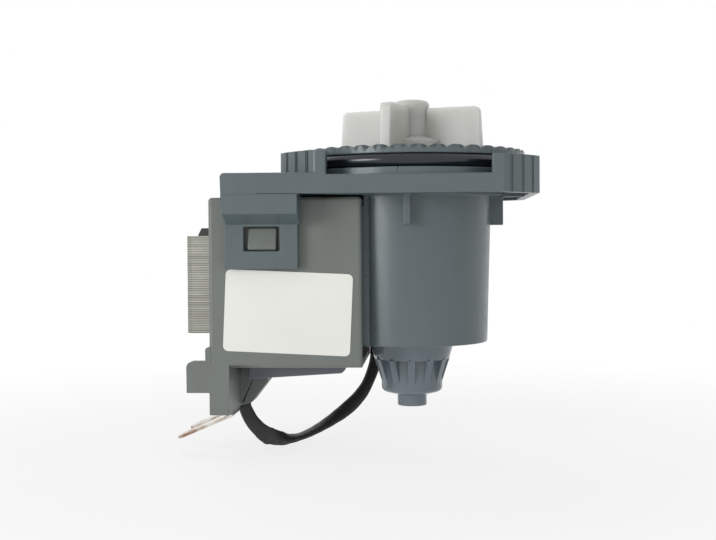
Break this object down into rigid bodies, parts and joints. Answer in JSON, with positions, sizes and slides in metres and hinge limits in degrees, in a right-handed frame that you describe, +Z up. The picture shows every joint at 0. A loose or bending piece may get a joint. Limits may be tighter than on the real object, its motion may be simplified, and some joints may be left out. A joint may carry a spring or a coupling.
{
  "type": "dishwasher drain pump",
  "caption": "Drain pump with a synchronous motor: coil block and lamination stack on one side, a shrouded rotor can in the middle, a bladed impeller above a sealed round flange.",
  "frame": {"origin": "on the rotor's axis, level with the flange's seating face round the spigot", "axes": "+Z up the rotor's axis towards the impeller; +X away from the coil block; +Y towards the back of the picture"},
  "size_m": [0.0935, 0.063, 0.0922],
  "materials": {
    "flange_plastic": "satin",
    "housing_plastic": "satin",
    "can_plastic": "glossy",
    "cover_plastic": "satin",
    "impeller_plastic": "satin",
    "bobbin_plastic": "satin",
    "black_plastic": "satin",
    "seal_rubber": "satin",
    "sleeve_rubber": "satin",
    "shaft_steel": "ground",
    "core_steel": "stamped laminations",
    "bearing_ceramic": "ceramic",
    "magnet_ferrite": "sintered",
    "winding_copper": "enamelled wire",
    "tape_film": "film",
    "tab_metal": "tinned",
    "label_paper": "paper film"
  },
  "bodies": {
    "pump_body": {"front_flange": "flange_plastic", "sump_o_ring": "seal_rubber", "rotor_can": "can_plastic", "bearing_carrier": "black_plastic", "carrier_o_ring": "seal_rubber", "shaft_seal": "seal_rubber", "front_bearing": "bearing_ceramic", "front_bearing_rubber": "seal_rubber", "rear_bearing": "bearing_ceramic", "rear_bearing_rubber": "seal_rubber", "stator_core": "core_steel", "front_bobbin": "bobbin_plastic", "rear_bobbin": "bobbin_plastic", "front_winding": "winding_copper", "rear_winding": "winding_copper", "coil_tapes": "tape_film", "coil_housing": "housing_plastic", "bottom_cover": "cover_plastic", "core_wedges": "black_plastic", "terminal_tabs": "tab_metal", "winding_leads": "winding_copper", "rating_label": "label_paper", "lead_sleeve": "sleeve_rubber"},
    "rotor": {"rotor_shaft": "shaft_steel", "rotor_magnet": "magnet_ferrite", "rotor_core": "black_plastic", "magnet_end_discs": "black_plastic", "thrust_washers": "shaft_steel", "drive_dog": "black_plastic"},
    "impeller_unit": {"impeller": "impeller_plastic", "impeller_dampers": "seal_rubber", "impeller_hub_cap": "impeller_plastic"}
  },
  "joints": [
    {"name": "rotor_spin", "type": "hinge", "parent": "pump_body", "child": "rotor", "pos_m": [0, 0, 0], "axis": [0, 0, 1], "continuous": true},
    {"name": "impeller_lost_motion", "type": "hinge", "parent": "rotor", "child": "impeller_unit", "pos_m": [0, 0, 0.01], "axis": [0, 0, 1], "range_deg": [-173, 0]}
  ]
}
